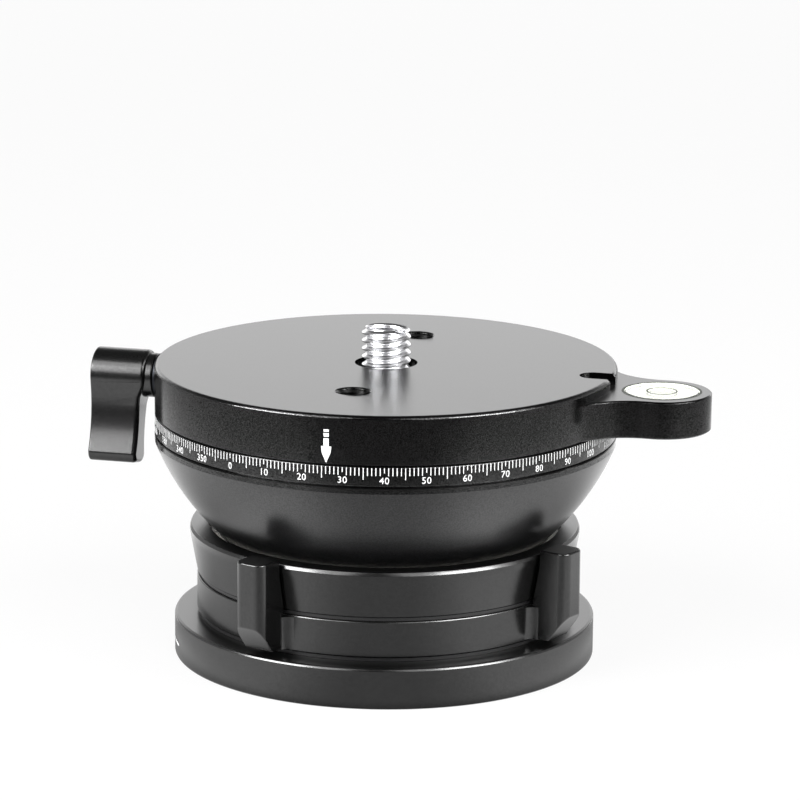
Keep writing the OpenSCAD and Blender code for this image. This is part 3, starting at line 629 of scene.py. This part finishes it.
# The side view: its inner face steps out below the neck in two arcs
SIDE_OUT, SIDE_LOW, SIDE_TOP, GRIP_IN = -60, -18.5, 6, -49.1
side = draw("side", X, upward, Vector(LOCK_AXIS) - level * 7, (SIDE_OUT, SIDE_LOW),
            [(GRIP_IN, SIDE_LOW), (GRIP_IN, -6), (-43.348, -6, -28.56), (-53.452, -0.5, 28.56),
             (PADDLE_IN, SIDE_TOP), (SIDE_OUT, SIDE_TOP), (SIDE_OUT, SIDE_LOW)])
thicken(level * 14)
cut(paddle, side, "INTERSECT")
weld(0.02 * mm)
pick_edges(paddle, lambda a, b: max(a.x, b.x) < PADDLE_OUT + 0.05)
bevel(width=0.4, segments=4)
round_edges(width=0.9, segments=5, sharp=60, clamp=False)
NECK_OUT, NECK_IN, NECK_BORE, NECK_R = -49, -46.4, 3.1, 4.4
neck = draw("neck", X, Z, LOCK_AXIS, (NECK_IN, NECK_BORE),
            [(NECK_IN, 4), (-46.8, 4, 90), (NECK_OUT, NECK_R), (NECK_OUT, NECK_BORE),
             (NECK_IN, NECK_BORE)])
turn(SMALL_ROUND, LOCK_AXIS, X)
paddle = join("lock_paddle", [paddle, neck])
finish(close(paddle, 35), "knob", "black_anodised", satin_black, "lock_knob")

# Washer under the neck, its edges rounded
WASHER_IN, WASHER_BORE = -45.5, 2.7
washer = draw("neck_washer", X, Z, LOCK_AXIS, (NECK_IN, WASHER_BORE),
              [(NECK_IN, 4.05), (-46.05, 4.05, -90), (-45.85, 4.4), (-45.85, 4.05, -90),
               (WASHER_IN, WASHER_BORE), (NECK_IN, WASHER_BORE)])
turn(SMALL_ROUND, LOCK_AXIS, X)
finish(close(washer), "knob", "black_steel", black_steel, "knob_washer")


# Spirit level: the window with its soft edge, the ring printed on it, and a dark ring of painted
# shadow over the gap between the cup and its seat

VIAL_AXIS = (VIAL_X, 0, 0)
WINDOW_LOW, WINDOW_R = 54.3, 7.2
window = draw("vial_window", X, Z, VIAL_AXIS, (0, WINDOW_LOW),
              [(WINDOW_R, WINDOW_LOW), (WINDOW_R, 55.1), (6.8, 55.1, 90), (0, LUG_TOP)])
turn(SMALL_ROUND, VIAL_AXIS)
finish(close(window), "platform", "vial_lens", clear_acrylic, "vial_lens")
# The second ring is not print: it is painted shadow, a dark ring where the gap round the cup is
# shaded
for name, inner, outer, proud in (("vial_ring", 2.7, 3.02, 0.015),
                                  ("vial_painted_gap_shadow", WINDOW_R, 7.66, 0.012)):
    low, high = LUG_TOP - 0.03, LUG_TOP + proud
    line = draw(name, X, Z, VIAL_AXIS, (inner, low),
                [(outer, low), (outer, high), (inner, high), (inner, low)])
    turn(SMALL_ROUND, VIAL_AXIS)
    finish(close(line), "platform", "acetal_black", dark_ink_and_painted_shade)


# Markings: ink in shallow engraving, a hair above the metal

INK_SUNK, INK_PROUD = 0.15, 0.015


def mark(name, degrees, radius, first, moves):
    """A flat inked shape on a round wall, drawn along the rim and upwards."""
    along, out = facing(degrees)
    piece = draw(name, along, Z, out * (radius - INK_SUNK), first, moves)
    thicken(out * (INK_SUNK + INK_PROUD))
    return piece


# Degree 0 of the dial stands this far round; the degrees grow counter-clockwise
DIAL_ZERO = -116.1
TICK_TOP, TICK_HALF, TIP_HALF, TIP_TALL = 47.91, 0.085, 0.04, 0.05
# The first of each run of ticks, the height of its tip, and the ticks in the run
TICKS = ((0, 46.96, 1), (1, 46.41, 4), (5, 45.66, 1), (6, 46.41, 4))
marks = []
for degree, low, run in TICKS:
    marks.append(mark("tick", DIAL_ZERO + degree, DIAL_R, (-TICK_HALF, TICK_TOP),
                      [(-TICK_HALF, low + TIP_TALL), (-TIP_HALF, low), (TIP_HALF, low),
                       (TICK_HALF, low + TIP_TALL), (TICK_HALF, TICK_TOP),
                       (-TICK_HALF, TICK_TOP)]))
    if run > 1:
        repeat(run, 1)
ticks = join("dial_ticks", marks)
repeat(36, 10)
finish(ticks, "ball", "acetal_white", white_ink)

# Numbers under the ticks of every ten degrees
NUMBER_LOW, NUMBER_TALL = 44.9, 1.8
numbers = []
for degree in range(0, 360, 10):
    turned = DIAL_ZERO + degree
    along, out = facing(turned)
    bpy.ops.object.select_all(action="DESELECT")
    bpy.ops.object.text_add(location=out * (DIAL_R - 0.05) * mm + Vector((0, 0, NUMBER_LOW * mm)),
                            rotation=(radians(90), 0, radians(turned + 90)))
    number = bpy.context.object
    number.data.body = str(degree)
    number.data.size = NUMBER_TALL * mm
    number.data.align_x = "CENTER"
    number.data.extrude = 0.075 * mm
    number.data.offset = 0.01 * mm
    number.data.space_character = 1.08
    number.data.resolution_u = 3
    bpy.ops.object.convert(target="MESH")
    bpy.ops.object.transform_apply(location=True, rotation=True, scale=True)
    numbers.append(bpy.context.object)
finish(join("dial_numbers", numbers), "ball", "acetal_white", white_ink)

# Pointer over the dial: an arrow with a cut tail
arrow = [mark("arrow", -90, PLATFORM_R, moves[-1], moves) for moves in (
    [(0.5, 54.9), (0.5, 54.45), (-0.5, 54.45), (-0.5, 54.9)],
    [(0.5, 54.2), (0.5, 53.5), (-0.5, 53.5), (-0.5, 54.2)],
    [(0.5, 53.2), (0.5, 51.7), (0.98, 51.7), (0.84, 50.45), (0, 48.55), (-0.84, 50.45),
     (-0.98, 51.7), (-0.5, 51.7), (-0.5, 53.2)])]
finish(join("pointer_arrow", arrow), "platform", "acetal_white", white_ink)

# Index dash on the foot, bent along its wall
DASH_LOW, DASH_TOP = 2.75, 3.25
dash_in, dash_out = FOOT_R - INK_SUNK, FOOT_R + INK_PROUD
dash = draw("index_dash", facing(-160.5)[1], Z, CENTRE, (dash_in, DASH_LOW),
            [(dash_out, DASH_LOW), (dash_out, DASH_TOP), (dash_in, DASH_TOP), (dash_in, DASH_LOW)])
bpy.ops.mesh.edge_face_add()
bpy.ops.mesh.spin(steps=8, angle=-radians(8.3), center=CENTRE, axis=Z)
face_out()
finish(dash, "base", "acetal_white", white_ink)


# Camera: stands and looks as the photograph was taken

lens = bpy.data.cameras.new("camera")
lens.lens = 188.15
lens.sensor_width = 36
camera = bpy.data.objects.new("camera", lens)
camera.location = (0.193048, -0.768557, 0.239407)
camera.rotation_euler = [radians(a) for a in (76.568092, -0.481063, 14.015536)]
bpy.context.scene.collection.objects.link(camera)
bpy.context.scene.camera = camera

# The camera's side of the part: its angle from the -Y axis, and its level direction
CAMERA_SIDE = 14.1
CAMERA_WAY = (0.2436, -0.9699, 0)


# Light, in metres: a large box on each side of the camera and one behind, and a brighter core in
# each front box that only the gloss shows, as the bright line on the cut edges

AIM = Vector((0, 0, 0.035))


def soft_box(name, azimuth, elevation, width, height, power, distance=1.0, roll=0, lights=True):
    """A soft area lamp that faces the part; azimuth 0 is on the camera's side, 90 to its right."""
    lamp = bpy.data.lights.new(name, "AREA")
    lamp.shape = "RECTANGLE"
    lamp.size, lamp.size_y, lamp.energy = width, height, power
    box = bpy.data.objects.new(name, lamp)
    a, e = radians(azimuth + CAMERA_SIDE - 90), radians(elevation)
    way = Vector((cos(a) * cos(e), sin(a) * cos(e), sin(e)))
    box.location = way * distance + AIM
    box.rotation_euler = (way.to_track_quat("Z", "Y") @ Quaternion(Z, radians(roll))).to_euler()
    box.visible_camera = False
    box.visible_diffuse = lights
    bpy.context.scene.collection.objects.link(box)


soft_box("left_soft_box", -52, 36, width=0.9, height=0.77, power=12.5)
soft_box("right_soft_box", 48, 36, width=1.2, height=0.77, power=12)
soft_box("back_soft_box", 180, 16, width=1.6, height=0.5, power=3.3, distance=1.2)
soft_box("left_core", -63, 28.5, width=0.58, height=0.24, power=14, roll=13, lights=False)
soft_box("right_core", 52, 29.5, width=0.56, height=0.24, power=13.5, roll=-13, lights=False)


def ahead(tree, vector):
    """How far a point, or a direction, goes to the camera's side."""
    return add(tree, "VectorMath", {"operation": "DOT_PRODUCT", 0: vector,
                                    1: CAMERA_WAY}).outputs["Value"]


def toward_camera(tree, vector):
    """The cosine of the angle, seen from above, between a direction and the camera's side."""
    flat = add(tree, "VectorMath", {"operation": "MULTIPLY", 0: vector, 1: (1, 1, 0)})
    return ahead(tree, add(tree, "VectorMath", {"operation": "NORMALIZE",
                                                0: flat.outputs[0]}).outputs[0])


def ray_kinds(tree):
    """1 on rays that show the surround in glossy or clear pieces, and 1 on the camera's own."""
    rays = add(tree, "LightPath").outputs
    mirrored = calc(tree, "MAXIMUM", rays["Is Glossy Ray"], rays["Is Transmission Ray"])
    return mirrored, rays["Is Camera Ray"]


# Surround: white to the camera; mirrored in the part, it is pale low down, and dark above and round
# the camera
world = bpy.data.worlds.new("studio")
bpy.context.scene.world = world
world.use_nodes = True
sky = world.node_tree
sky.nodes.clear()
way = add(sky, "TexCoord").outputs["Generated"]
wall = ramp(sky, add(sky, "SeparateXYZ", {0: way}).outputs["Z"], 0.25, 0.6, 1.0, 0.12)
lit = ramp(sky, toward_camera(sky, way), 0.78, 0.98, 1.0, 0.08)
mirrored, watched = ray_kinds(sky)
shown = blend(sky, mirrored, 0.15, calc(sky, "MULTIPLY", wall, lit))
glow = add(sky, "Background", {"Strength": blend(sky, watched, shown, 1.0)})
add(sky, "OutputWorld", {0: glow.outputs[0]})

# Floor: pale paper that reads as white and keeps a faint shadow; mirrored in the part, it glows
# with painted light and shade: painted shade towards the camera, close round the foot and far away,
# and a painted pool of light under the boxes
bpy.ops.object.select_all(action="DESELECT")
bpy.ops.mesh.primitive_plane_add(size=6)
floor = bpy.context.object
floor.name = "floor"
paper, tree, place = open_material("white_paper")
mirrored, watched = ray_kinds(tree)
share = calc(tree, "MULTIPLY", calc(tree, "MAXIMUM", mirrored, watched), 0.88)
away = add(tree, "VectorMath", {"operation": "LENGTH", 0: place}).outputs["Value"]
toward = toward_camera(tree, place)
# Painted shade and light in the floor's glow that the gloss sees: fades ahead and far off, a
# painted shadow round the foot, darker towards the camera and close behind the foot, lighter to the
# sides
painted_front_fade = ramp(tree, ahead(tree, place), 0.16, 0.215, 1.0, 0.05)
painted_far_fade = ramp(tree, away, 0.17, 0.26, 1.0, 0.28)
foot_shadow = ramp(tree, away, 0.0425, 0.046, 0.5, 1.0)
front = ramp(tree, toward, 0.78, 0.98, 1.9, 0.85)
behind = ramp(tree, away, 0.06, 0.11, 0.52, 2.1)
sides = ramp(tree, toward, -0.2, 0.6, behind, 1.9)
ends = calc(tree, "MINIMUM", calc(tree, "MINIMUM", painted_front_fade, painted_far_fade), foot_shadow)
painted_light_pool = calc(tree, "MULTIPLY", ends, calc(tree, "MINIMUM", front, sides))
sheet = add(tree, "BsdfDiffuse", {"Color": linear("#f4f4f4")})
glow = add(tree, "Emission", {"Color": (1, 1, 1, 1), "Strength": blend(tree, watched, painted_light_pool, 1.0)})
mixed = add(tree, "MixShader", {0: share, 1: sheet.outputs[0], 2: glow.outputs[0]})
add(tree, "OutputMaterial", {"Surface": mixed.outputs[0]})
floor.data.materials.append(paper)

bpy.context.scene.view_settings.view_transform = "Standard"
